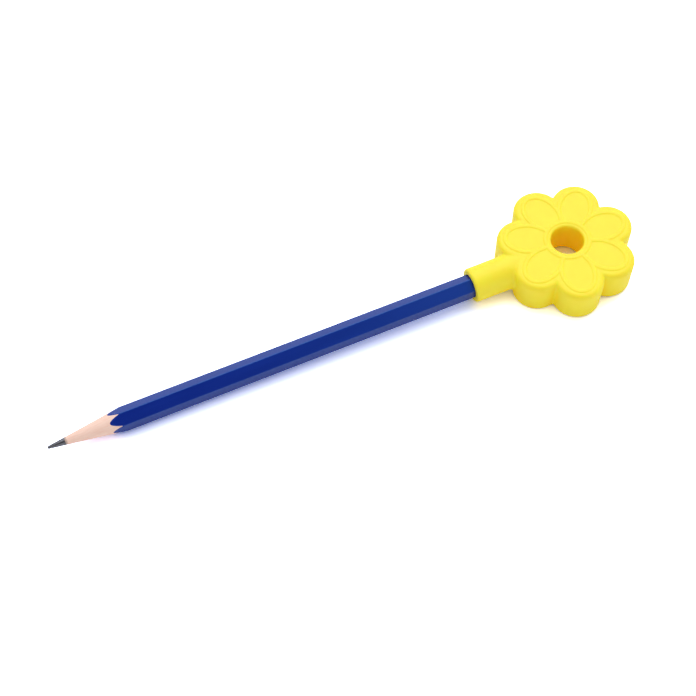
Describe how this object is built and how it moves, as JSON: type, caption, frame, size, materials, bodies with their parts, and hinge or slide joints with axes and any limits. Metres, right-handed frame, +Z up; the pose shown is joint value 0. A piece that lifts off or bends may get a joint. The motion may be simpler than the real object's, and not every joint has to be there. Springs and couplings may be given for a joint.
{
  "type": "chewable pencil topper on a pencil",
  "caption": "Soft flower-shaped chew topper with a finger hole and a round sleeve, pushed onto the end of a sharpened hexagonal wooden pencil.",
  "frame": {"origin": "centre of the finger hole, at half the flower's thickness", "axes": "+Z up out of the flower's face along the finger hole, pencil along X with its point at -X, +Y across"},
  "size_m": [0.2057, 0.0462, 0.0129],
  "materials": {
    "topper": "satin moulded elastomer",
    "casing_wood": "freshly sharpened, bare",
    "lead": "burnished graphite",
    "lacquer": "gloss lacquer"
  },
  "bodies": {
    "pencil": {"upper_slat": "casing_wood", "lower_slat": "casing_wood", "graphite_lead": "lead", "lacquer_coat": "lacquer"},
    "topper": {"chew_topper": "topper"}
  },
  "joints": [
    {"name": "topper_slide", "type": "slide", "parent": "pencil", "child": "topper", "axis": [1, 0, 0], "range_m": [0, 0.03]}
  ]
}
